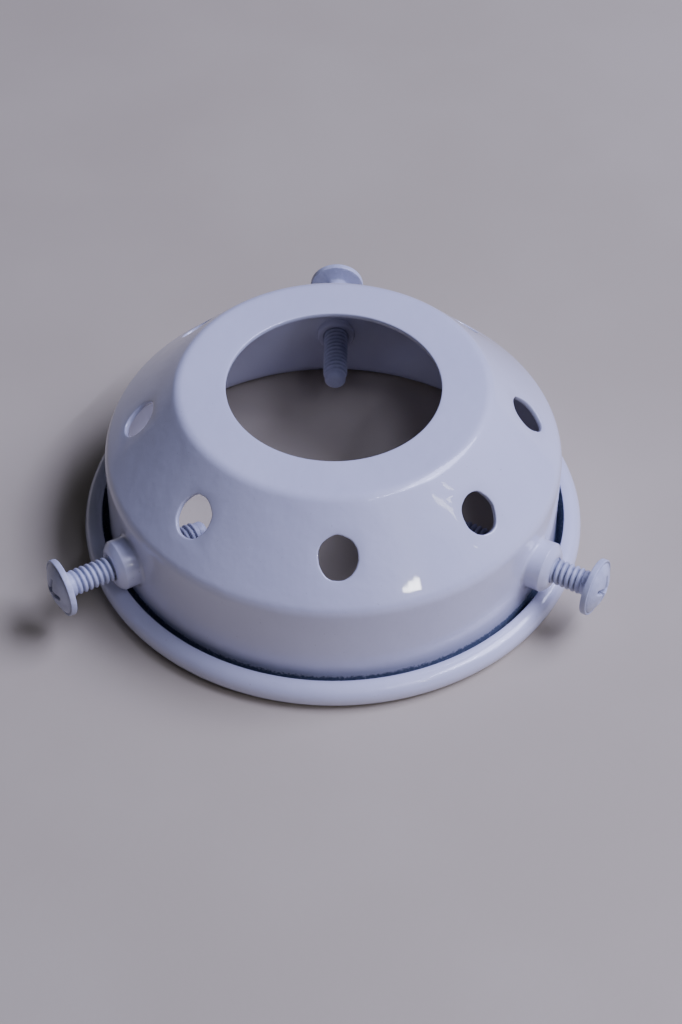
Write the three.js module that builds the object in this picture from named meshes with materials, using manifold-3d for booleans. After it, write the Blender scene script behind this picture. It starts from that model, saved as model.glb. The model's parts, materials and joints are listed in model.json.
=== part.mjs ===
// A vented metal lampshade gallery: a spun steel cap that hangs under a lampholder and grips the
// neck of a glass shade with three thumb-turned screws. Millimetres, +Z up. The origin is the centre
// of the lampholder hole, in the plane of the flat top.

import * as THREE from 'three';
import { mergeVertices } from 'three/addons/utils/BufferGeometryUtils.js';
import Module from 'manifold-3d';

// Shell: flat top, cone, skirt and a rolled curl round the foot, all one sheet
const HEIGHT = 35.6;
const SHEET = 1.0;
const HOLE_RADIUS = 19.7;
const TOP_RADIUS = 28.7;
const SKIRT_RADIUS = 42.7;
const CONE_DROP = 15.0;
const TOP_BEND = 2.6;
const SHOULDER_BEND = 3.6;
const FLARE_BEND = 1.4;
const RIM_RADIUS = 47.5;
const CURL_RADIUS = 2.35;
const CURL_END_ANGLE = 110;
const SHELL_FACETS = 64;

// Vents: slightly long holes punched square to the cone
const VENT_COUNT = 8;
const VENT_HALF_WIDTH = 3.5;
const VENT_HALF_LENGTH = 4.05;
const VENT_CIRCLE = 35.65;
const FIRST_VENT_ANGLE = -88;

// Bosses: threaded collars riveted through the skirt
const BOSS_HEIGHT = 11.2;
const BOSS_RADIUS = 4.75;
const BOSS_FACE = 46.8;
const BOSS_EDGE = 1.7;
const BOSS_BORE = 2.7;
const SPIGOT_RADIUS = 3.1;
const TAIL_RADIUS = 3.8;
const TAIL_THICKNESS = 0.8;
const GAP = 0.3;
const BOSS_FACETS = 20;

// Screws: mushroom heads on a 4.8 mm, 24 threads per inch shank
const THREAD_RADIUS = 2.4;
const THREAD_PITCH = 25.4 / 24;
const THREAD_DEPTH = 0.65;
const SHANK_LENGTH = 28.6;
const POINT_LENGTH = 1.5;
const POINT_CHAMFER = 0.5;
const HEAD_RADIUS = 5.4;
const HEAD_RIM = 1.2;
const DOME_FOOT = 4.8;
const HEAD_HEIGHT = 2.7;
const NECK_LENGTH = 0.5;
const RECESS_WIDTH = 1.1;
const RECESS_LENGTH = 5.2;
const RECESS_FLOOR = 1.8;
const RECESS_DEPTH = 1.7;
const SCREW_FACETS = 12;

// Where each screw stands: its bearing round the gallery, how far its head sits from the axis,
// and how far it is turned
const SCREWS = {
  right: { bearing: -29.2, head: 54.3, turn: 60 },
  back: { bearing: 90, head: 55.7, turn: 70 },
  left: { bearing: 210.3, head: 56.0, turn: 8 },
};

const PAINT = { color: 0xe8e8ee, roughness: 0.22, metalness: 0.0 };
const SCREW_PAINT = { color: 0xdcdce4, roughness: 0.5, metalness: 0.0 };

const wasm = await Module();
wasm.setup();

const point = (radius, height) => new THREE.Vector2(radius, height);
const radians = THREE.MathUtils.degToRad;

/** Points along an arc of the section, from one angle to another, in degrees. */
function arc(centre, radius, from, to, steps) {
  return Array.from({ length: steps + 1 }, (_, i) => {
    const angle = radians(from + ((to - from) * i) / steps);
    return point(centre.x + radius * Math.cos(angle), centre.y + radius * Math.sin(angle));
  });
}

/** Welds a geometry's shared corners and drops the triangles that collapse. */
function welded(geometry) {
  const bare = geometry.clone();
  bare.deleteAttribute('normal');
  bare.deleteAttribute('uv');
  const merged = mergeVertices(bare, 1e-4);
  const kept = [];
  for (let i = 0; i < merged.index.count; i += 3) {
    const [a, b, c] = [0, 1, 2].map((k) => merged.index.getX(i + k));
    if (a !== b && b !== c && c !== a) {
      kept.push(a, b, c);
    }
  }
  merged.setIndex(kept);
  return merged;
}

/** A closed geometry as a solid that can be joined and cut. */
function solid(geometry) {
  const mesh = welded(geometry);
  return new wasm.Manifold(new wasm.Mesh({
    numProp: 3,
    vertProperties: new Float32Array(mesh.attributes.position.array),
    triVerts: new Uint32Array(mesh.index.array),
  }));
}

/** The solid's surface as a geometry. */
function surface(body) {
  const mesh = body.getMesh();
  const geometry = new THREE.BufferGeometry();
  geometry.setAttribute('position', new THREE.BufferAttribute(new Float32Array(mesh.vertProperties), 3));
  geometry.setIndex(new THREE.BufferAttribute(new Uint32Array(mesh.triVerts), 1));
  geometry.computeVertexNormals();
  return geometry;
}

/** A section of (radius, height) points turned about Z. */
function turned(section, facets) {
  return solid(new THREE.LatheGeometry(section, facets).rotateX(Math.PI / 2));
}

/** An oval rod along X, centred on a point and leaning up by an angle in degrees. */
function drill(halfWidth, halfHeight, length, facets, centre, lean) {
  const rod = new THREE.CylinderGeometry(halfWidth, halfWidth, length, facets).rotateZ(-Math.PI / 2);
  rod.scale(1, 1, halfHeight / halfWidth);
  return solid(rod.rotateY(-radians(lean)).translate(centre.x, 0, centre.y));
}

// ---- Shell ----

/** The sheet's section, as one closed line: the outside down to the curl's end, then the inside back up. */
function shellSection() {
  const slope = THREE.MathUtils.radToDeg(Math.atan2(CONE_DROP, SKIRT_RADIUS - TOP_RADIUS));
  const topBend = point(TOP_RADIUS - TOP_BEND * Math.tan(radians(slope / 2)), -TOP_BEND);
  const shoulder = point(
    SKIRT_RADIUS - SHOULDER_BEND,
    -CONE_DROP - SHOULDER_BEND * Math.tan(radians((90 - slope) / 2)),
  );
  const flare = point(SKIRT_RADIUS + FLARE_BEND, -HEIGHT + SHEET + FLARE_BEND);
  const curl = point(RIM_RADIUS - CURL_RADIUS, -HEIGHT + CURL_RADIUS);
  const outside = [
    point(HOLE_RADIUS, 0),
    ...arc(topBend, TOP_BEND, 90, 90 - slope, 3),
    ...arc(shoulder, SHOULDER_BEND, 90 - slope, 0, 4),
    ...arc(flare, FLARE_BEND, 180, 270, 3),
    ...arc(curl, CURL_RADIUS - SHEET, -90, CURL_END_ANGLE, 7),
  ];
  const inside = [
    ...arc(curl, CURL_RADIUS, CURL_END_ANGLE, -90, 9),
    ...arc(flare, FLARE_BEND + SHEET, 270, 180, 3),
    ...arc(shoulder, SHOULDER_BEND - SHEET, 0, 90 - slope, 4),
    ...arc(topBend, TOP_BEND - SHEET, 90 - slope, 90, 3),
    point(HOLE_RADIUS, -SHEET),
  ];
  return [...outside, ...inside, outside[0].clone()].reverse();
}

/** A punch for one vent, square to the cone. */
function ventPunch(angle) {
  const slope = (SKIRT_RADIUS - TOP_RADIUS) / CONE_DROP;
  const centre = point(VENT_CIRCLE, -(VENT_CIRCLE - TOP_RADIUS) / slope);
  const lean = THREE.MathUtils.radToDeg(Math.atan(slope));
  return drill(VENT_HALF_WIDTH, VENT_HALF_LENGTH, 6 * SHEET, 20, centre, lean).rotate([0, 0, angle]);
}

/** The hole in the skirt that a boss's spigot passes through. */
function bossPunch(bearing) {
  const centre = point(SKIRT_RADIUS, BOSS_HEIGHT - HEIGHT);
  const radius = SPIGOT_RADIUS + GAP;
  return drill(radius, radius, 6 * SHEET, BOSS_FACETS, centre, 0).rotate([0, 0, bearing]);
}

function makeShell() {
  let shell = turned(shellSection(), SHELL_FACETS);
  for (let i = 0; i < VENT_COUNT; i += 1) {
    shell = shell.subtract(ventPunch(FIRST_VENT_ANGLE + (360 * i) / VENT_COUNT));
  }
  for (const { bearing } of Object.values(SCREWS)) {
    shell = shell.subtract(bossPunch(bearing));
  }
  return shell;
}

// ---- Bosses ----

/** A collar outside the skirt, a spigot through it and a swaged tail inside; Z runs outward from the axis. */
function makeBoss() {
  const seat = SKIRT_RADIUS + GAP;
  const edge = point(BOSS_RADIUS - BOSS_EDGE, BOSS_FACE - BOSS_EDGE);
  const innerWall = Math.sqrt((SKIRT_RADIUS - SHEET) ** 2 - TAIL_RADIUS ** 2) - GAP;
  return turned([
    point(BOSS_BORE, innerWall - TAIL_THICKNESS),
    point(TAIL_RADIUS, innerWall - TAIL_THICKNESS),
    point(TAIL_RADIUS, innerWall),
    point(SPIGOT_RADIUS, innerWall),
    point(SPIGOT_RADIUS, seat),
    point(BOSS_RADIUS, seat),
    ...arc(edge, BOSS_EDGE, 0, 90, 3),
    point(BOSS_BORE, BOSS_FACE),
    point(BOSS_BORE, innerWall - TAIL_THICKNESS),
  ], BOSS_FACETS);
}

// ---- Screws ----
// Z runs outward along the screw, from the plane under its head.

/** A bare helical ridge: crest and root lines climb one pitch a turn, with a fan closing each end. */
function threadedBar(bottom, turns) {
  const rows = 2 * turns;
  const positions = [];
  const corners = [];
  const at = (column, row) => (row * SCREW_FACETS) + column;
  for (let row = 0; row <= rows + 2; row += 1) {
    for (let column = 0; column < SCREW_FACETS; column += 1) {
      const share = column / SCREW_FACETS;
      const radius = row % 2 === 0 ? THREAD_RADIUS : THREAD_RADIUS - THREAD_DEPTH;
      const angle = 2 * Math.PI * share;
      positions.push(radius * Math.cos(angle), radius * Math.sin(angle));
      positions.push(bottom + (row / 2 + share) * THREAD_PITCH);
    }
  }
  const next = (column, row) => (column + 1 < SCREW_FACETS ? at(column + 1, row) : at(0, row + 2));
  for (let row = 0; row < rows; row += 1) {
    for (let column = 0; column < SCREW_FACETS; column += 1) {
      const [a, b] = [at(column, row), next(column, row)];
      const [c, d] = [at(column, row + 1), next(column, row + 1)];
      corners.push(a, b, d, a, d, c);
    }
  }
  const hub = (row) => {
    positions.push(0, 0, bottom + (row / 2 + 0.5) * THREAD_PITCH);
    return positions.length / 3 - 1;
  };
  const loop = (row) => [
    ...Array.from({ length: SCREW_FACETS }, (_, column) => at(column, row)), at(0, row + 2), at(0, row + 1),
  ];
  const close = (row, up) => {
    const [middle, ring] = [hub(row), loop(row)];
    ring.forEach((corner, i) => {
      const other = ring[(i + 1) % ring.length];
      corners.push(...(up ? [middle, corner, other] : [middle, other, corner]));
    });
  };
  close(0, false);
  close(rows, true);
  const geometry = new THREE.BufferGeometry();
  geometry.setAttribute('position', new THREE.Float32BufferAttribute(positions, 3));
  geometry.setIndex(corners);
  return solid(geometry);
}

/** One arm pair of the cross recess: a wedge that narrows towards the bottom. */
function recessWedge(angle) {
  const outline = new THREE.Shape([
    point(-RECESS_FLOOR / 2, HEAD_HEIGHT - RECESS_DEPTH),
    point(RECESS_FLOOR / 2, HEAD_HEIGHT - RECESS_DEPTH),
    point(RECESS_LENGTH / 2, HEAD_HEIGHT + 1),
    point(-RECESS_LENGTH / 2, HEAD_HEIGHT + 1),
  ]);
  const wedge = new THREE.ExtrudeGeometry(outline, { depth: RECESS_WIDTH, bevelEnabled: false });
  wedge.translate(0, 0, -RECESS_WIDTH / 2).rotateX(Math.PI / 2).rotateZ(radians(angle));
  return solid(wedge);
}

/** The mushroom head: a low dome standing on a thin flange, with the cross recess cut in. */
function makeHead() {
  const rise = HEAD_HEIGHT - HEAD_RIM;
  const domeRadius = (DOME_FOOT ** 2 + rise ** 2) / (2 * rise);
  const half = THREE.MathUtils.radToDeg(Math.asin(DOME_FOOT / domeRadius));
  const dome = turned([
    point(0, 0),
    point(HEAD_RADIUS, 0),
    point(HEAD_RADIUS, HEAD_RIM),
    ...arc(point(0, HEAD_HEIGHT - domeRadius), domeRadius, 90 - half, 90, 5),
  ], 2 * SCREW_FACETS);
  return dome.subtract(recessWedge(0)).subtract(recessWedge(90));
}

/** The shank's thread, trimmed square at both ends, with a plain neck under the head. */
function makeScrew() {
  const tip = -SHANK_LENGTH + POINT_LENGTH + GAP;
  const turns = Math.ceil(SHANK_LENGTH / THREAD_PITCH);
  const core = THREAD_RADIUS - THREAD_DEPTH;
  const sleeve = turned([
    point(0, tip),
    point(core, tip),
    point(THREAD_RADIUS + 1, tip + THREAD_DEPTH + 1),
    point(THREAD_RADIUS + 1, -NECK_LENGTH - THREAD_DEPTH - 1),
    point(core, -NECK_LENGTH),
    point(core, GAP),
    point(0, GAP),
  ], SCREW_FACETS);
  const neck = turned([
    point(0, -2 * NECK_LENGTH),
    point(core, -2 * NECK_LENGTH),
    point(core, GAP),
    point(0, GAP),
  ], SCREW_FACETS);
  const bar = threadedBar(-SHANK_LENGTH - THREAD_PITCH, turns + 2);
  return bar.intersect(sleeve).add(neck).add(makeHead());
}

/** The plain chamfered lead at the end of the shank. */
function makePoint() {
  const radius = THREAD_RADIUS - THREAD_DEPTH;
  return turned([
    point(0, -SHANK_LENGTH),
    point(radius - POINT_CHAMFER, -SHANK_LENGTH),
    point(radius, -SHANK_LENGTH + POINT_CHAMFER),
    point(radius, -SHANK_LENGTH + POINT_LENGTH),
    point(0, -SHANK_LENGTH + POINT_LENGTH),
  ], SCREW_FACETS);
}

// ---- Assembly ----

function named(name, geometry, finish) {
  const mesh = new THREE.Mesh(geometry, new THREE.MeshStandardMaterial(finish));
  mesh.name = name;
  return mesh;
}

const gallery = new THREE.Group();
gallery.add(named('gallery_shell', surface(makeShell()), PAINT));

const bossShape = surface(makeBoss());
const screwShape = surface(makeScrew());
const pointShape = surface(makePoint());

for (const [side, { bearing, head, turn }] of Object.entries(SCREWS)) {
  const station = new THREE.Group();
  station.rotation.set(0, Math.PI / 2, radians(bearing), 'ZYX');
  station.position.z = BOSS_HEIGHT - HEIGHT;
  station.add(named(`${side}_boss`, bossShape.clone(), PAINT));

  const screw = new THREE.Group();
  screw.position.z = head;
  screw.rotation.z = radians(turn);
  screw.add(named(`${side}_screw`, screwShape.clone(), SCREW_PAINT));
  screw.add(named(`${side}_screw_point`, pointShape.clone(), SCREW_PAINT));
  station.add(screw);
  gallery.add(station);
}

export default gallery;
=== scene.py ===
"""The looks of a vented lampshade gallery: an enamelled spun shell with riveted bosses and grip screws.

Lengths are in millimetres in the row's frame, and turn into metres where a mesh is made.
"""

import json
import math

import bpy
import numpy as np
from mathutils import Matrix, Quaternion, Vector, noise


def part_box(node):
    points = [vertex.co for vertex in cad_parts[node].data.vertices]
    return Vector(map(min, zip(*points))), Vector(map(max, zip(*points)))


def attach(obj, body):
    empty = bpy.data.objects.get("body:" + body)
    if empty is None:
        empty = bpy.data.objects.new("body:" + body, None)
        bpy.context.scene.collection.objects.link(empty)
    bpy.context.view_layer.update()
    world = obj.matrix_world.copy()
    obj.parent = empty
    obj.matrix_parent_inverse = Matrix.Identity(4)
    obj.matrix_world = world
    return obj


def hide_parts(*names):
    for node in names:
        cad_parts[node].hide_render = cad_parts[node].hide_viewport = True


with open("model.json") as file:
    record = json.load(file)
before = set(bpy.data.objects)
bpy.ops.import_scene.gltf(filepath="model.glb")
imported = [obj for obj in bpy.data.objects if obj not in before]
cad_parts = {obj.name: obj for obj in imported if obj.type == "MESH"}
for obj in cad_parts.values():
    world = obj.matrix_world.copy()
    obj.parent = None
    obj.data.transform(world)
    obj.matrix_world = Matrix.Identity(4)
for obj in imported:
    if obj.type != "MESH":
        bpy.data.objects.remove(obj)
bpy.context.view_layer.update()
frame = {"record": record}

MM = 0.001
TAU = 2 * math.pi

# ---- Driving dimensions: the frame gives the outer sizes, the screws' axes and the thread's lead ----

shell_low, shell_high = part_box("gallery_shell")
boss_low, boss_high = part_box("back_boss")
RIM_RADIUS = round(shell_high.x / MM, 2)
HEIGHT = round(-shell_low.z / MM, 2)
BOSS_RADIUS = round((boss_high.x - boss_low.x) / 2 / MM, 2)
BOSS_FACE = round(boss_high.y / MM, 2)
TAIL_END = round(boss_low.y / MM, 2)
THREAD_LEAD = TAU / frame["record"]["behaviour"]["couplings"][0]["ratio"] / MM

SHEET = 1.0
HOLE_RADIUS = 19.7
TOP_RADIUS = 28.7
SKIRT_RADIUS = 42.7
CONE_DROP = 15.0
TOP_BEND = 2.6
SHOULDER_BEND = 3.6
FLARE_BEND = 1.4
CURL_RADIUS = 2.35
CURL_END_ANGLE = 110

VENT_COUNT = 8
FIRST_VENT_ANGLE = -88
VENT_CIRCLE = 35.65
VENT_HALF_WIDTH = 3.5
VENT_HALF_LENGTH = 4.05
VENT_RAGGED = 0.09
VENT_DIP = 0.1
PUNCHED_EDGE = 0.3
# Painted shade in the gap under the lip: how far before the flare it starts along the section, and where it
# is full.
GAP_SHADE_START = 3.0
GAP_SHADE_FULL = 0.7

SPIGOT_RADIUS = 3.1
SPIGOT_HOLE_RADIUS = 3.2
SPIGOT_GAP = 0.02
TAIL_RADIUS = 3.8
TAIL_BEND = 0.5
BOSS_EDGE = 1.7
BOSS_DROP = 1.1
BOSS_CORNER = 0.25
BOSS_CHAMFER = 0.15
PAINT_FILLET = 0.5
BORE_RADIUS = 2.1
BORE_LIP = 0.2
BORE_TAIL_ROUND = 0.3
COUNTERBORE = 1.6

CREST_RADIUS = 2.4
NECK_RADIUS = 2.3
THREAD_DEPTH = 0.45
THREAD_CLEARANCE = 0.05
THREAD_FADE = 2.4
THREAD_END_FADE = 1.1
SHANK_LENGTH = 28.6
POINT_LENGTH = 1.5
POINT_RADIUS = 2.05
POINT_CHAMFER = 0.5
POINT_EDGE = 0.02
SEAM = 0.03
HEAD_RADIUS = 5.4
DOME_RADIUS = 4.8
HEAD_RIM = 1.2
HEAD_HEIGHT = 2.7
HEAD_CORNER = 0.22
# The crease between dome and rim: how far out of the dome, and how far off the rim's face, each ring is.
HEAD_CREASE = ((0.03, -0.1), (0.12, -0.13), (0.22, -0.08), (0.34, -0.02))
NECK_FILLET = 0.35
RECESS_WIDTH = 1.1
RECESS_REACH = 2.6
RECESS_DEPTH = 1.45
RECESS_ZONE = 3.1
SCREW_TURNS = {"right": 60, "back": 70, "left": 8}

TOP_STEPS = 8
TOP_BEND_STEPS = 6
CONE_STEPS = 19
SHOULDER_STEPS = 8
SKIRT_STEPS = 18
FLARE_STEPS = 7
CURL_STEPS = 28
SHELL_COLUMNS = 240
COLUMN_STEP = 360 / SHELL_COLUMNS
PATCH_CELLS = 12
PATCH_RINGS = 4
EDGE_STEPS = 8
SCREW_COLUMNS = 48
HEAD_COLUMNS = 96
BOSS_COLUMNS = 72
ROWS_PER_TURN = 12

ENAMEL_WHITE = ((0.69, 0.695, 0.84, 1), (0.73, 0.735, 0.88, 1))
ENAMEL_SPECK = (0.33, 0.32, 0.36, 1)
ENAMEL_EDGE = (0.55, 0.56, 0.66, 1)
# Dark blue metal colour: unpainted metal at the lip's edge, painted shade in the gap under the lip, and a
# darkening of the bosses' bores.
BARE_STEEL_AND_SHADE = ((0.05, 0.07, 0.13, 1), (0.20, 0.25, 0.37, 1))
SCREW_WHITE = ((0.50, 0.52, 0.66, 1), (0.62, 0.64, 0.78, 1))
# Painted shade in the screw thread's root, the head's cross recess and the crease round the dome.
SCREW_ROOT_SHADE = (0.19, 0.21, 0.30, 1)
SCREW_SPECK = (0.30, 0.31, 0.38, 1)
FLOOR_COLOURS = ((0.52, 0.455, 0.35, 1), (0.56, 0.495, 0.385, 1))
# Layers of bump, coarse to fine: the size and detail of the noise, and its depth.
ENAMEL_PEEL = ((7, 1, 0.1), (2.2, 1, 0.045), (1.0, 2, 0.016), (0.35, 3, 0.0012))
SCREW_LUMPS = ((0.9, 3, 0.085), (0.22, 2, 0.02))
FLOOR_GRAIN = ((1.5, 3, 0.02),)
PAINT_IOR = 1.5
COAT_WEIGHT = 0.8
COAT_ROUGHNESS = 0.03

FLOOR_REACH = 1.5
FOOT = Vector((0, 0, -HEIGHT * MM))
HEART = Vector((0, 0, -HEIGHT / 2 * MM))
CAMERA_BEARING = -89.43
CAMERA_ELEVATION = 46.06
CAMERA_DISTANCE = 0.4599
CAMERA_TURN = (0.19, 0.20, -0.28)
CAMERA_LENS = 83.76
CAMERA_SENSOR = 36
SKY_COLOUR = (0.66, 0.71, 0.88, 1)
SKY_STRENGTH = 0.055
DAYLIGHT = (0.62, 0.645, 1.0)
BOX_ELEVATION = 53
BOX_DISTANCE = 1.3
# Softboxes on the dome: name, bearing in degrees, width and height in metres, watts.
SOFTBOXES = (
    ("key", 6, (0.9, 0.6), 24.0),
    ("strip", -32, (1.0, 0.025), 4.9),
)
# Small lights near the cone: name, place and aim in metres, roll in degrees, watts per square metre, and
# the panes of each, as offsets across and up, widths and heights in millimetres.
GLINTS = (
    (
        "glint", (0.1084, -0.1517, 0.0903), (0.0142, -0.0375, -0.0122), 165, 230,
        ((-2.8, 1.2, 16.7, 3.1), (9, 1.7, 11, 1.3), (-7.9, -0.7, 8.3, 1.0)),
    ),
    (
        "far_glint", (0.1768, -0.0999, 0.0942), (0.0191, -0.0271, -0.0048), 150, 36,
        ((-16, -3.5, 40, 2.4), (-33, -11.3, 16, 1.6)),
    ),
)


# ---- Mesh helpers ----


def new_piece(name, points, faces, body, stands_for, material, tints):
    """A smooth-shaded mesh from points in millimetres. tints maps an attribute's name to its values."""
    mesh = bpy.data.meshes.new(name)
    mesh.from_pydata((np.asarray(points, float) * MM).tolist(), [], faces)
    mesh.validate()
    mesh.polygons.foreach_set("use_smooth", [True] * len(mesh.polygons))
    for label, values in tints.items():
        attribute = mesh.attributes.new(label, "FLOAT", "POINT")
        attribute.data.foreach_set("value", np.asarray(values, float))
    mesh.materials.append(material)
    piece = bpy.data.objects.new(name, mesh)
    bpy.context.scene.collection.objects.link(piece)
    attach(piece, body)
    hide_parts(stands_for)


def smoothstep(low, high, x):
    t = np.clip((np.asarray(x, float) - low) / (high - low), 0, 1)
    return t * t * (3 - 2 * t)


def arc_points(centre, radius, start, end, steps):
    """(radius, height) points on an arc, from one angle to another in degrees."""
    angles = np.radians(np.linspace(start, end, steps + 1))
    return [(centre[0] + radius * math.cos(a), centre[1] + radius * math.sin(a)) for a in angles]


def ring_faces(first, second):
    """Quads between two rings of vertex numbers of equal length."""
    count = len(first)
    return [(first[i], first[(i + 1) % count], second[(i + 1) % count], second[i]) for i in range(count)]


# ---- The shell's sheet ----


class Sheet:
    """The spun sheet's middle surface, as rows of (radius, height, outward normal, length along it)."""

    def __init__(self):
        slope = math.atan2(CONE_DROP, SKIRT_RADIUS - TOP_RADIUS)
        lean = math.degrees(slope)
        half = SHEET / 2
        top_centre = (TOP_RADIUS - TOP_BEND * math.tan(slope / 2), -TOP_BEND)
        shoulder_drop = SHOULDER_BEND * math.tan(math.radians(90 - lean) / 2)
        shoulder_centre = (SKIRT_RADIUS - SHOULDER_BEND, -CONE_DROP - shoulder_drop)
        flare_centre = (SKIRT_RADIUS + FLARE_BEND, -HEIGHT + SHEET + FLARE_BEND)
        curl_centre = (RIM_RADIUS - CURL_RADIUS, -HEIGHT + CURL_RADIUS)
        self.rows = []
        self.length = 0.0
        self.line((HOLE_RADIUS + PUNCHED_EDGE, -half), (top_centre[0], -half), TOP_STEPS)
        self.arc(top_centre, TOP_BEND - half, 90, 90 - lean, TOP_BEND_STEPS)
        self.cone_start = len(self.rows) - 1
        self.line(self.end, self.on_arc(shoulder_centre, SHOULDER_BEND - half, 90 - lean), CONE_STEPS)
        self.cone_end = len(self.rows) - 1
        self.arc(shoulder_centre, SHOULDER_BEND - half, 90 - lean, 0, SHOULDER_STEPS)
        self.skirt_start = len(self.rows) - 1
        self.line(self.end, (SKIRT_RADIUS - half, flare_centre[1]), SKIRT_STEPS)
        self.skirt_end = len(self.rows) - 1
        self.arc(flare_centre, FLARE_BEND + half, 180, 270, FLARE_STEPS)
        self.line(self.end, (curl_centre[0], -HEIGHT + half), 1)
        self.arc(curl_centre, CURL_RADIUS - half, -90, CURL_END_ANGLE, CURL_STEPS)

    @staticmethod
    def on_arc(centre, radius, angle):
        return arc_points(centre, radius, angle, angle, 0)[0]

    def put(self, point, normal):
        """Adds a row, unless it lies where the last one does."""
        if self.rows:
            step = math.dist(point, self.end)
            if step < 1e-6:
                return
            self.length += step
        self.rows.append((*point, *normal, self.length))
        self.end = point

    def line(self, start, end, steps):
        run = np.subtract(end, start)
        normal = (-run[1], run[0]) / np.linalg.norm(run)
        for share in np.linspace(0, 1, steps + 1):
            self.put(tuple(start + run * share), tuple(normal))

    def arc(self, centre, radius, start, end, steps):
        """An arc of the section; the sheet's outer face is on the left of the way that it runs."""
        turn = 1 if end < start else -1
        for angle in np.linspace(start, end, steps + 1):
            point = self.on_arc(centre, radius, angle)
            normal = np.subtract(point, centre) / radius * turn
            self.put(point, tuple(normal))


sheet = Sheet()
SHEET_ROWS = np.array(sheet.rows)
ROW_LENGTH = SHEET_ROWS[:, 4]


def sheet_radius(length):
    """The radius of the sheet's middle at lengths along its section."""
    return np.interp(length, ROW_LENGTH, SHEET_ROWS[:, 0])


def skirt_length(height):
    """How far along the section the skirt passes a height."""
    rows = SHEET_ROWS[sheet.skirt_start : sheet.skirt_end + 1]
    return float(np.interp(-height, -rows[:, 1], rows[:, 4]))


def on_sheet(bearing, length, side):
    """Points at bearings in degrees and lengths along the section, side mm outward of the middle.

    A length beyond either end goes straight on past it.
    """
    columns = (np.interp(length, ROW_LENGTH, SHEET_ROWS[:, k]) for k in range(4))
    radius, height, normal_r, normal_z = columns
    past = length - np.clip(length, 0, ROW_LENGTH[-1])
    radius = radius + side * normal_r + past * normal_z
    height = height + side * normal_z - past * normal_r
    angle = np.radians(bearing)
    return np.stack([radius * np.cos(angle), radius * np.sin(angle), height + 0 * angle], axis=-1)


def rounded_edge():
    """How far out of a cut edge, and how far off the sheet's middle, each ring round it lies."""
    turn = np.linspace(0, math.pi, EDGE_STEPS + 1)
    squareness = 0.6
    out = PUNCHED_EDGE * np.sin(turn) ** squareness
    side = SHEET / 2 * np.sign(np.cos(turn)) * np.abs(np.cos(turn)) ** squareness
    return list(zip(out, side, strict=True))


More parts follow.
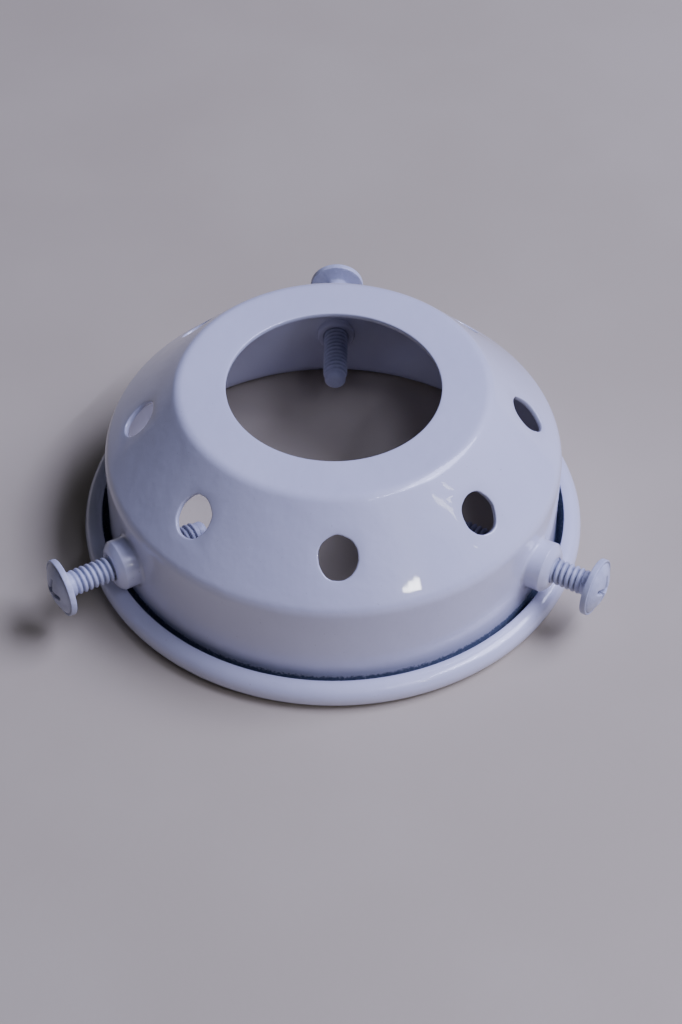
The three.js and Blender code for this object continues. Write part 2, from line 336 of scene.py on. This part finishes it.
class ShellMesh:
    """Both faces of the sheet on one grid of rows and columns, with a patch of rings at each hole."""

    def __init__(self):
        self.points, self.faces, self.lengths, self.sides, self.edges = [], [], [], [], []
        self.holes = []

    def add(self, bearing, length, side, edge=0.0):
        """Adds a ring of points and returns their numbers."""
        bearing, length, side, edge = np.broadcast_arrays(bearing, length, side, edge)
        first = len(self.lengths)
        self.points.extend(on_sheet(bearing, length, side))
        self.lengths.extend(length)
        self.sides.extend(side)
        self.edges.extend(edge)
        return list(range(first, len(self.lengths)))

    def skin(self, rings):
        """Quads from each ring to the next."""
        for first, second in zip(rings, rings[1:]):
            self.faces.extend(ring_faces(first, second))

    def hole(self, bearing, length, half_width, half_length, ragged=0.0, dip=0.0):
        """Plans a hole: the cells round its patch, and a point of its edge for each of them."""
        column = round((bearing - FIRST_VENT_ANGLE) / COLUMN_STEP)
        row = int(np.abs(ROW_LENGTH - length).argmin())
        reach = PATCH_CELLS // 2
        half_way = [(-reach, k) for k in range(-reach, reach)] + [(k, reach) for k in range(-reach, reach)]
        around = half_way + [(-r, -c) for r, c in half_way]
        across = [
            math.radians(FIRST_VENT_ANGLE + (column + c) * COLUMN_STEP - bearing) * SHEET_ROWS[row + r, 0]
            for r, c in around
        ]
        along = [ROW_LENGTH[row + r] - length for r, _ in around]
        even = np.radians(225) + TAU * np.arange(len(around)) / len(around)
        real = np.unwrap(np.arctan2(along, across))
        angle = (even + real + TAU * round((even[0] - real[0]) / TAU)) / 2
        wobble = [
            ragged * sum(noise.noise((k * math.cos(a), k * math.sin(a), bearing)) / k for k in (1.5, 5))
            for a in angle
        ]
        ellipse = np.stack([half_width * np.cos(angle), half_length * np.sin(angle)])
        self.holes.append({
            "row": row,
            "column": column,
            "around": around,
            "bearing": bearing,
            "length": length,
            "dip": dip,
            "outer": np.stack([across, along]),
            "edge": ellipse * (1 + np.array(wobble)),
            "out": np.stack([np.cos(angle), np.sin(angle)]),
        })

    def inside_a_patch(self, row, column):
        """Whether a cell, given by its middle, lies inside a hole's patch."""
        reach = PATCH_CELLS / 2
        half_turn = SHELL_COLUMNS / 2
        for hole in self.holes:
            off = (column - hole["column"] + half_turn) % SHELL_COLUMNS - half_turn
            if abs(row - hole["row"]) < reach and abs(off) < reach:
                return True
        return False

    def patch(self, hole, grids):
        """The rings from a hole's edge to its patch's border on both faces, and the wall between them."""

        def ring(place, side, edge, pull):
            length = hole["length"] + place[1]
            bearing = hole["bearing"] + np.degrees(place[0] / sheet_radius(length))
            return self.add(bearing, length, side - pull, edge)

        start = hole["edge"] + hole["out"] * PUNCHED_EDGE
        skins = []
        for side, grid in zip((SHEET / 2, -SHEET / 2), grids, strict=True):
            rings = []
            for k in range(PATCH_RINGS):
                share = (k / PATCH_RINGS) ** 1.2
                place = start * (1 - share) + hole["outer"] * share
                rings.append(ring(place, side, 1 - share, hole["dip"] * (1 - share) ** 2))
            rings.append([
                grid[hole["row"] + r][(hole["column"] + c) % SHELL_COLUMNS] for r, c in hole["around"]
            ])
            skins.append(rings)
        outer, inner = skins
        self.skin(outer)
        for first, second in zip(inner, inner[1:]):
            self.skin([second, first])
        wall = [outer[0]]
        for out, side in rounded_edge()[1:-1]:
            wall.append(ring(start - hole["out"] * out, side, 1.0, hole["dip"]))
        wall.append(inner[0])
        for first, second in zip(wall, wall[1:]):
            self.skin([second, first])

    def build(self):
        """Makes the faces, and returns the points, the faces and each point's length, side and edge."""
        bearings = FIRST_VENT_ANGLE + COLUMN_STEP * np.arange(SHELL_COLUMNS)
        grids = [
            [self.add(bearings, length, side) for length in ROW_LENGTH] for side in (SHEET / 2, -SHEET / 2)
        ]
        for row in range(len(ROW_LENGTH) - 1):
            for column in range(SHELL_COLUMNS):
                if self.inside_a_patch(row + 0.5, column + 0.5):
                    continue
                ahead = (column + 1) % SHELL_COLUMNS
                for grid, way in zip(grids, (1, -1), strict=True):
                    here, there = grid[row], grid[row + 1]
                    corners = (here[column], *(there[column], there[ahead], here[ahead])[::way])
                    self.faces.append(corners)
        for start, way, row in ((0, -1, 0), (ROW_LENGTH[-1], 1, -1)):
            wall = [grids[0][row]]
            for out, side in rounded_edge()[1:-1]:
                wall.append(self.add(bearings, start + way * out, side, 1.0))
            wall.append(grids[1][row])
            for first, second in zip(wall, wall[1:]):
                self.skin([second, first] if way > 0 else [first, second])
        for hole in self.holes:
            self.patch(hole, grids)
        used = sorted({v for face in self.faces for v in face})
        renumber = {v: i for i, v in enumerate(used)}
        faces = [tuple(renumber[v] for v in face) for face in self.faces]
        columns = (self.points, self.lengths, self.sides, self.edges)
        points, lengths, sides, edges = (np.array(column)[used] for column in columns)
        return points, faces, lengths, sides, edges


# ---- Materials ----


class Nodes:
    """A material's node tree, with one method for each kind of node that the paints need."""

    def __init__(self, name):
        self.material = bpy.data.materials.new(name)
        self.material.use_nodes = True
        self.tree = self.material.node_tree
        self.shader = self.tree.nodes["Principled BSDF"]
        self.place = self.tree.nodes.new("ShaderNodeTexCoord").outputs["Object"]

    def feed(self, socket, value):
        """Links an output to a socket, or sets the socket's own value."""
        if isinstance(value, bpy.types.NodeSocket):
            self.tree.links.new(value, socket)
        else:
            socket.default_value = value

    def node(self, kind, inputs, **settings):
        made = self.tree.nodes.new("ShaderNode" + kind)
        for key, value in settings.items():
            setattr(made, key, value)
        for key, value in inputs.items():
            self.feed(made.inputs[key], value)
        return made

    def noise(self, size, detail=2.0, roughness=0.5):
        """Noise with features of a size in millimetres."""
        inputs = {"Vector": self.place, "Scale": 1 / (size * MM), "Detail": detail, "Roughness": roughness}
        return self.node("TexNoise", inputs).outputs["Fac"]

    def spread(self, value, low, high, to_low=0.0, to_high=1.0):
        """A value's range, smoothly stretched to another."""
        inputs = {"Value": value, "From Min": low, "From Max": high, "To Min": to_low, "To Max": to_high}
        return self.node("MapRange", inputs, interpolation_type="SMOOTHSTEP").outputs["Result"]

    def maths(self, operation, a, b):
        return self.node("Math", {0: a, 1: b}, operation=operation).outputs["Value"]

    def tint(self, name):
        return self.node("Attribute", {}, attribute_name=name).outputs["Fac"]

    def mix(self, share, a, b):
        inputs = {"Factor": share, "A": a, "B": b}
        made = self.node("Mix", {}, data_type="RGBA")
        for socket in made.inputs:
            if socket.enabled and socket.name in inputs:
                self.feed(socket, inputs[socket.name])
        return next(s for s in made.outputs if s.enabled)

    def bumps(self, layers):
        """Layers of bump over each other, each a noise's size and detail, and a depth in millimetres."""
        normal = None
        for size, detail, depth in layers:
            inputs = {"Height": self.noise(size, detail), "Distance": depth * MM, "Strength": 1.0}
            if normal is not None:
                inputs["Normal"] = normal
            normal = self.node("Bump", inputs).outputs["Normal"]
        return normal

    def wire(self, socket, value):
        self.feed(self.shader.inputs[socket], value)


def gloss_enamel():
    """White gloss powder coat: faint orange peel and specks, unpainted metal at the rim lip's edge, and
    painted shade, a dark blue, in the gap under the lip.
    """
    paint = Nodes("gloss_enamel")
    cloud = paint.spread(paint.noise(22, 3), 0.3, 0.7)
    white = paint.mix(cloud, *ENAMEL_WHITE)
    specks = paint.spread(paint.noise(0.55, 1), 0.755, 0.80)
    white = paint.mix(paint.maths("MULTIPLY", specks, 0.35), white, ENAMEL_SPECK)
    # This mask paints shade into the gap under the lip, marks unpainted metal at the lip's edge, and darkens
    # the bosses' bores.
    grit_and_shade = paint.maths("ADD", paint.noise(0.5, 3, 0.6), paint.tint("bare_and_shade"))
    thin_and_shade = paint.spread(grit_and_shade, 1.10, 1.45)
    steel_and_shade = paint.mix(paint.noise(0.3, 2), *BARE_STEEL_AND_SHADE)
    colour = paint.mix(thin_and_shade, white, steel_and_shade)
    edge = paint.maths("MULTIPLY", paint.tint("edge"), 0.22)
    paint.wire("Base Color", paint.mix(edge, colour, ENAMEL_EDGE))
    rough = paint.spread(paint.noise(9, 2), 0.3, 0.7, 0.28, 0.36)
    paint.wire("Roughness", paint.maths("ADD", rough, paint.maths("MULTIPLY", thin_and_shade, 0.35)))
    paint.wire("Normal", paint.bumps(ENAMEL_PEEL))
    paint.wire("IOR", PAINT_IOR)
    missing_coat = paint.maths("MULTIPLY", thin_and_shade, COAT_WEIGHT)
    paint.wire("Coat Weight", paint.maths("SUBTRACT", COAT_WEIGHT, missing_coat))
    paint.wire("Coat Roughness", COAT_ROUGHNESS)
    return paint.material


def screw_enamel():
    """Thick satin white paint: lumpy and grainy, with blue-grey painted shade in the thread's root, the
    cross recess and the crease round the dome.
    """
    paint = Nodes("screw_enamel")
    cloud = paint.spread(paint.noise(3.0, 3), 0.3, 0.7)
    white = paint.mix(cloud, *SCREW_WHITE)
    patchy = paint.spread(paint.noise(0.8, 3), 0.25, 0.7, 0.6, 1.0)
    # The root mask paints shade into the thread's groove, the recess and the crease.
    colour = paint.mix(paint.maths("MULTIPLY", paint.tint("root"), patchy), white, SCREW_ROOT_SHADE)
    specks = paint.spread(paint.noise(0.3, 2), 0.70, 0.80)
    paint.wire("Base Color", paint.mix(paint.maths("MULTIPLY", specks, 0.4), colour, SCREW_SPECK))
    paint.wire("Roughness", paint.spread(paint.noise(1.2, 3), 0.3, 0.7, 0.28, 0.46))
    paint.wire("Normal", paint.bumps(SCREW_LUMPS))
    paint.wire("IOR", PAINT_IOR)
    return paint.material


def pale_floor():
    """A plain pale board, very slightly mottled."""
    board = Nodes("floor")
    cloud = board.spread(board.noise(60, 4), 0.3, 0.7)
    board.wire("Base Color", board.mix(cloud, *FLOOR_COLOURS))
    board.wire("Roughness", 0.6)
    board.wire("Normal", board.bumps(FLOOR_GRAIN))
    return board.material


GLOSS = gloss_enamel()
SATIN = screw_enamel()


# ---- Screws and bosses, turned about a screw's axis ----


class Screw:
    """A screw's axis, from its joint: distances run outward from the shell's middle along it."""

    def __init__(self, joint):
        self.name = joint["name"].removesuffix("_screw_turn")
        self.axis = Vector(joint["axis"]).normalized()
        seat = Vector(joint["pos_m"]) / MM
        self.seat = seat.dot(self.axis)
        self.height = seat.z
        self.bearing = math.degrees(math.atan2(self.axis.y, self.axis.x))
        self.turn = math.radians(SCREW_TURNS[self.name])

    def place(self, out, radius, angle):
        """Points at distances along the axis, and radii and angles round it from straight down."""
        out, radius, angle = np.broadcast_arrays(out, radius, angle)
        side = radius * np.sin(angle)
        x = out * self.axis.x - side * self.axis.y
        y = out * self.axis.y + side * self.axis.x
        return np.stack([x, y, self.height - radius * np.cos(angle)], axis=-1)


SCREWS = [Screw(j) for j in frame["record"]["behaviour"]["joints"] if j["type"] == "hinge"]


class Turned:
    """A closed mesh of rings round a screw's axis, each ring joined to the one before it."""

    def __init__(self, screw):
        self.screw = screw
        self.points, self.faces, self.tint = [], [], []
        self.last = None

    def ring(self, out, radius, columns, tint=0.0):
        """Adds a ring and joins it to the last one, which has the same columns or twice as many.

        out, radius and tint are numbers or functions of the angles round the ring. The first ring is
        filled with a face.
        """
        angle = TAU * np.arange(columns) / columns
        out, radius, tint = (f(angle) if callable(f) else f for f in (out, radius, tint))
        first = len(self.points)
        self.points.extend(self.screw.place(out, radius, angle))
        self.tint.extend(np.broadcast_to(tint, columns))
        ring = list(range(first, first + columns))
        if self.last is None:
            self.faces.append(tuple(ring))
        elif len(self.last) == columns:
            self.faces.extend(ring_faces(ring, self.last))
        else:
            wide = self.last
            for i in range(columns):
                ahead = (i + 1) % columns
                pair = [wide[(2 * i + k) % len(wide)] for k in (2, 1, 0)]
                self.faces.append((ring[i], ring[ahead], *pair))
        self.last = ring

    def rings(self, profile, columns):
        """Plain rings at (radius, distance out) points."""
        for radius, out in profile:
            self.ring(out, radius, columns)

    def close(self):
        self.faces.append(tuple(reversed(self.last)))


def groove(out, angle):
    """How deep in the thread's groove a place is, from 0 on the crest to 1 at the root."""
    phase = TAU * out / THREAD_LEAD - angle
    return ((1 + np.cos(phase)) / 2) ** 2


def thread_rows(start, end):
    """Distances out from a thread's start to its end."""
    return np.linspace(start, end, round((start - end) / THREAD_LEAD * ROWS_PER_TURN))


def make_screw(screw):
    """A mushroom head with a cross recess, and its thread down to where the plain point starts."""
    body = Turned(screw)
    seat = screw.seat
    brim = seat + HEAD_RIM
    rise = HEAD_HEIGHT - HEAD_RIM
    curve = (DOME_RADIUS**2 + rise**2) / (2 * rise)

    def dome(radius):
        return seat + HEAD_HEIGHT - curve + math.sqrt(curve**2 - radius**2)

    def recess(radius, angle):
        """How far below the dome the painted cross recess lies."""
        along = np.abs(np.stack([np.cos(angle - screw.turn), np.sin(angle - screw.turn)])) * radius
        across = along[::-1]
        taper = RECESS_WIDTH / 2 * (1 - 0.35 * along / RECESS_REACH)
        arm = smoothstep(0.16, -0.16, across - taper) * smoothstep(0.4, -0.3, along - RECESS_REACH)
        slope = np.clip(1.25 - along / RECESS_REACH, 0, 1) ** 0.8
        return RECESS_DEPTH * np.max(arm * slope, axis=0)

    recessed = np.linspace(0.08, RECESS_ZONE, 22)
    plain = np.linspace(RECESS_ZONE + 0.25, DOME_RADIUS - 0.06, 8)
    # The recess's rings carry painted shade, darker where the recess is deeper.
    for radius in [*recessed, *plain]:
        body.ring(
            lambda angle, r=radius: dome(r) - recess(r, angle),
            radius,
            HEAD_COLUMNS,
            lambda angle, r=radius: 1.2 * recess(r, angle) / RECESS_DEPTH,
        )
    # The crease's rings carry painted shade at half strength.
    for radius, out in HEAD_CREASE:
        body.ring(brim + out, DOME_RADIUS + radius, HEAD_COLUMNS, 0.5)
    corner = HEAD_RADIUS - HEAD_CORNER
    body.rings(arc_points((corner, brim - HEAD_CORNER), HEAD_CORNER, 90, 0, 5), HEAD_COLUMNS)
    body.rings(arc_points((corner, seat + HEAD_CORNER), HEAD_CORNER, 0, -90, 4), HEAD_COLUMNS)
    fillet = NECK_RADIUS + NECK_FILLET
    for radius in np.linspace(HEAD_RADIUS - 1.1, fillet + 0.4, 3):
        body.ring(seat, radius, HEAD_COLUMNS)
    body.rings(arc_points((fillet, seat - NECK_FILLET), NECK_FILLET, 90, 180, 6), SCREW_COLUMNS)
    start = seat - NECK_FILLET - 0.1
    end = seat - SHANK_LENGTH + POINT_LENGTH + SEAM
    for out in thread_rows(start, end):
        cut = smoothstep(start, start - THREAD_FADE, out)
        taper = smoothstep(end + THREAD_END_FADE, end, out)

        def radius(angle, out=out, cut=cut, taper=taper):
            full = NECK_RADIUS + (CREST_RADIUS - NECK_RADIUS) * cut - THREAD_DEPTH * cut * groove(out, angle)
            return full * (1 - taper) + POINT_RADIUS * taper

        # Painted shade in the thread's groove, faded out with the thread.
        body.ring(out, radius, SCREW_COLUMNS, lambda a, o=out, c=cut, t=taper: c * (1 - t) * groove(o, a))
    body.close()
    name = screw.name + "_screw"
    tints = {"root": body.tint}
    new_piece(name + "_turned", body.points, body.faces, name, name, SATIN, tints)


def make_point(screw):
    """The plain chamfered end of the screw, on the body that carries the travel without the turn."""
    point = Turned(screw)
    tip = screw.seat - SHANK_LENGTH
    top = tip + POINT_LENGTH
    foot = tip + POINT_CHAMFER
    inner = POINT_RADIUS - POINT_CHAMFER
    point.rings(((0.9, top), (POINT_RADIUS - 0.12, top)), SCREW_COLUMNS)
    point.rings(
        arc_points((POINT_RADIUS - POINT_EDGE, top - POINT_EDGE), POINT_EDGE, 90, 0, 2), SCREW_COLUMNS
    )
    for out in np.linspace(top - 0.2, foot + 0.15, 4):
        point.ring(out, POINT_RADIUS, SCREW_COLUMNS)
    chamfer = ((POINT_RADIUS - 0.06, foot), (inner + 0.08, tip + 0.12), (inner - 0.06, tip + 0.02))
    point.rings(chamfer, SCREW_COLUMNS)
    point.rings(((inner - 0.3, tip), (inner * 0.5, tip)), SCREW_COLUMNS)
    point.close()
    name = screw.name + "_screw_point"
    body = screw.name + "_point"
    tints = {"root": point.tint}
    new_piece(name + "_turned", point.points, point.faces, body, name, SATIN, tints)


def make_boss(screw):
    """The collar outside the skirt, its threaded bore, its spigot and its tail swaged over inside.

    The rings run from the spigot out over the collar, in through the bore and round the tail to the
    spigot again, so the faces are turned over at the end.
    """
    boss = Turned(screw)
    columns = BOSS_COLUMNS
    inside = SKIRT_RADIUS - SHEET

    def wall(radius, reach, off):
        """A ring's distance out, off the skirt's inner or outer face."""
        return lambda angle: np.sqrt(reach**2 - (radius * np.sin(angle)) ** 2) + off

    boss.ring(wall(SPIGOT_RADIUS, SKIRT_RADIUS, -SPIGOT_GAP), SPIGOT_RADIUS, columns)
    start = boss.last
    boss.faces.clear()
    foot = BOSS_RADIUS + PAINT_FILLET
    for radius in (foot - 0.3, foot):
        boss.ring(wall(radius, SKIRT_RADIUS, -SPIGOT_GAP), radius, columns)
    for radius, off in arc_points((foot, PAINT_FILLET), PAINT_FILLET, -90, -180, 6):
        boss.ring(wall(radius, SKIRT_RADIUS, off), radius, columns)
    level = BOSS_FACE - BOSS_DROP - BOSS_CORNER
    base = wall(BOSS_RADIUS, SKIRT_RADIUS, PAINT_FILLET)
    for share in (0.35, 0.7, 1):
        boss.ring(lambda a, s=share: base(a) * (1 - s) + level * s, BOSS_RADIUS, columns)
    boss.rings(arc_points((BOSS_RADIUS - BOSS_CORNER, level), BOSS_CORNER, 10, 50, 4), columns)
    for share in (0.3, 0.6, 0.85, 1):
        rise = BOSS_DROP * (share * (2 - share))
        boss.ring(BOSS_FACE - BOSS_DROP + rise, BOSS_RADIUS - BOSS_CORNER * 0.6 - BOSS_EDGE * share, columns)
    mouth = CREST_RADIUS + THREAD_CLEARANCE
    lip = (mouth + BOSS_CHAMFER, BOSS_FACE - BOSS_CHAMFER)
    boss.rings(arc_points(lip, BOSS_CHAMFER, 90, 180, 4), columns)
    thread_start = BOSS_FACE - COUNTERBORE
    bore_end = TAIL_END + BORE_TAIL_ROUND
    for out in thread_rows(BOSS_FACE - BORE_LIP, bore_end):
        cut = smoothstep(thread_start, thread_start - 0.9, out)
        fade = cut * smoothstep(bore_end, bore_end + 0.6, out)

        def radius(angle, out=out, fade=fade):
            return np.maximum(mouth - THREAD_DEPTH * fade * groove(out, angle), BORE_RADIUS)

        # The threaded part of the bore is darkened towards the dark metal colour.
        boss.ring(out, radius, columns, 0.55 * fade)
    tail_round = arc_points((mouth + BORE_TAIL_ROUND, bore_end), BORE_TAIL_ROUND, 180, 270, 3)
    boss.rings(tail_round[1:], columns)
    tail = wall(TAIL_RADIUS, inside, 0)
    for turn in np.linspace(0, math.pi / 2, 7):
        radius = TAIL_RADIUS - TAIL_BEND + TAIL_BEND * math.sin(turn)
        boss.ring(lambda a, t=turn: TAIL_END * math.cos(t) + tail(a) * (1 - math.cos(t)), radius, columns)
    for radius in (TAIL_RADIUS, SPIGOT_RADIUS):
        boss.ring(wall(radius, inside, SPIGOT_GAP), radius, columns)
    boss.faces.extend(ring_faces(start, boss.last))
    faces = [face[::-1] for face in boss.faces]
    name = screw.name + "_boss"
    tints = {"bare_and_shade": boss.tint, "edge": np.zeros(len(boss.points))}
    new_piece(name + "_turned", boss.points, faces, "gallery", name, GLOSS, tints)


# ---- The shell ----


def make_shell():
    """The shell with its vents and its bosses' holes, with painted shade in the gap under the rim's lip and
    unpainted metal at the lip's edge.
    """
    shell = ShellMesh()
    middle = (ROW_LENGTH[sheet.cone_start] + ROW_LENGTH[sheet.cone_end]) / 2
    run = math.hypot(CONE_DROP, SKIRT_RADIUS - TOP_RADIUS) / (SKIRT_RADIUS - TOP_RADIUS)
    vent_length = middle + (VENT_CIRCLE - sheet_radius(middle)) * run
    for k in range(VENT_COUNT):
        bearing = FIRST_VENT_ANGLE + 360 / VENT_COUNT * k
        shell.hole(bearing, vent_length, VENT_HALF_WIDTH, VENT_HALF_LENGTH, VENT_RAGGED, VENT_DIP)
    for screw in SCREWS:
        shell.hole(screw.bearing, skirt_length(screw.height), SPIGOT_HOLE_RADIUS, SPIGOT_HOLE_RADIUS)
    points, faces, lengths, sides, edges = shell.build()
    flare = ROW_LENGTH[sheet.skirt_end]
    # Painted shade: the sheet's outer face from above the flare round into the curl, which is the gap under
    # the lip.
    gap_shade = np.where(sides > 0, smoothstep(flare - GAP_SHADE_START, flare - GAP_SHADE_FULL, lengths), 0)
    lip = smoothstep(ROW_LENGTH[-1] - 0.5, ROW_LENGTH[-1] + PUNCHED_EDGE, lengths)
    tints = {"bare_and_shade": np.maximum(gap_shade, 0.7 * lip), "edge": smoothstep(0.2, 1.0, edges)}
    new_piece("shell", points, faces, "gallery", "gallery_shell", GLOSS, tints)


make_shell()
for screw in SCREWS:
    make_screw(screw)
    make_point(screw)
    make_boss(screw)


# ---- Floor, lights and camera ----


def add_floor():
    mesh = bpy.data.meshes.new("floor")
    corners = [(FLOOR_REACH * x, FLOOR_REACH * y, FOOT.z) for x, y in ((-1, -1), (1, -1), (1, 1), (-1, 1))]
    mesh.from_pydata(corners, [], [(0, 1, 2, 3)])
    mesh.materials.append(pale_floor())
    floor = bpy.data.objects.new("floor", mesh)
    bpy.context.scene.collection.objects.link(floor)


def on_dome(bearing, elevation, distance):
    """A place seen from the foot's middle at a bearing and elevation in degrees and a distance in metres."""
    flat = distance * math.cos(math.radians(elevation))
    angle = math.radians(bearing)
    level = distance * math.sin(math.radians(elevation)) - HEIGHT * MM
    return Vector((flat * math.cos(angle), flat * math.sin(angle), level))


def facing(place, aim, roll=0.0):
    """How a light or camera at a place stands when it looks at an aim and then rolls, in degrees."""
    return (aim - place).to_track_quat("-Z", "Y") @ Quaternion((0, 0, 1), math.radians(roll))


def add_softbox(name, place, turn, size, power, colour):
    light = bpy.data.lights.new(name, "AREA")
    light.shape = "RECTANGLE"
    light.size, light.size_y = size
    light.energy = power
    light.color = colour
    box = bpy.data.objects.new(name, light)
    box.location = place
    box.rotation_euler = turn.to_euler()
    box.visible_camera = False
    bpy.context.scene.collection.objects.link(box)


def add_glint(name, place, aim, roll, strength, panes):
    """Small white panes close together, whose mirror images on the enamel make one ragged spot."""
    turn = facing(place, aim, roll)
    for k, (across, up, width, height) in enumerate(panes):
        spot = place + turn @ Vector((across, up, 0)) * MM
        size = (width * MM, height * MM)
        add_softbox(f"{name}_{k}", spot, turn, size, strength * size[0] * size[1], (1, 1, 1))


def add_sky():
    world = bpy.data.worlds.new("sky")
    world.use_nodes = True
    background = world.node_tree.nodes["Background"]
    background.inputs["Color"].default_value = SKY_COLOUR
    background.inputs["Strength"].default_value = SKY_STRENGTH
    bpy.context.scene.world = world


def add_camera():
    """The camera looks at the foot's middle, then turns by a small yaw, pitch and roll."""
    camera = bpy.data.cameras.new("camera")
    camera.sensor_width = CAMERA_SENSOR
    camera.lens = CAMERA_LENS
    holder = bpy.data.objects.new("camera", camera)
    place = on_dome(CAMERA_BEARING, CAMERA_ELEVATION, CAMERA_DISTANCE)
    look = facing(place, FOOT).to_matrix()
    yaw, pitch, roll = (math.radians(a) for a in CAMERA_TURN)
    turn = Matrix.Rotation(-yaw, 3, "Y") @ Matrix.Rotation(pitch, 3, "X") @ Matrix.Rotation(-roll, 3, "Z")
    holder.matrix_world = Matrix.LocRotScale(place, look @ turn, None)
    bpy.context.scene.collection.objects.link(holder)
    bpy.context.scene.camera = holder


add_floor()
add_sky()
add_camera()
for name, bearing, size, power in SOFTBOXES:
    place = on_dome(bearing, BOX_ELEVATION, BOX_DISTANCE)
    add_softbox(name, place, facing(place, HEART), size, power, DAYLIGHT)
for name, place, aim, roll, strength, panes in GLINTS:
    add_glint(name, Vector(place), Vector(aim), roll, strength, panes)
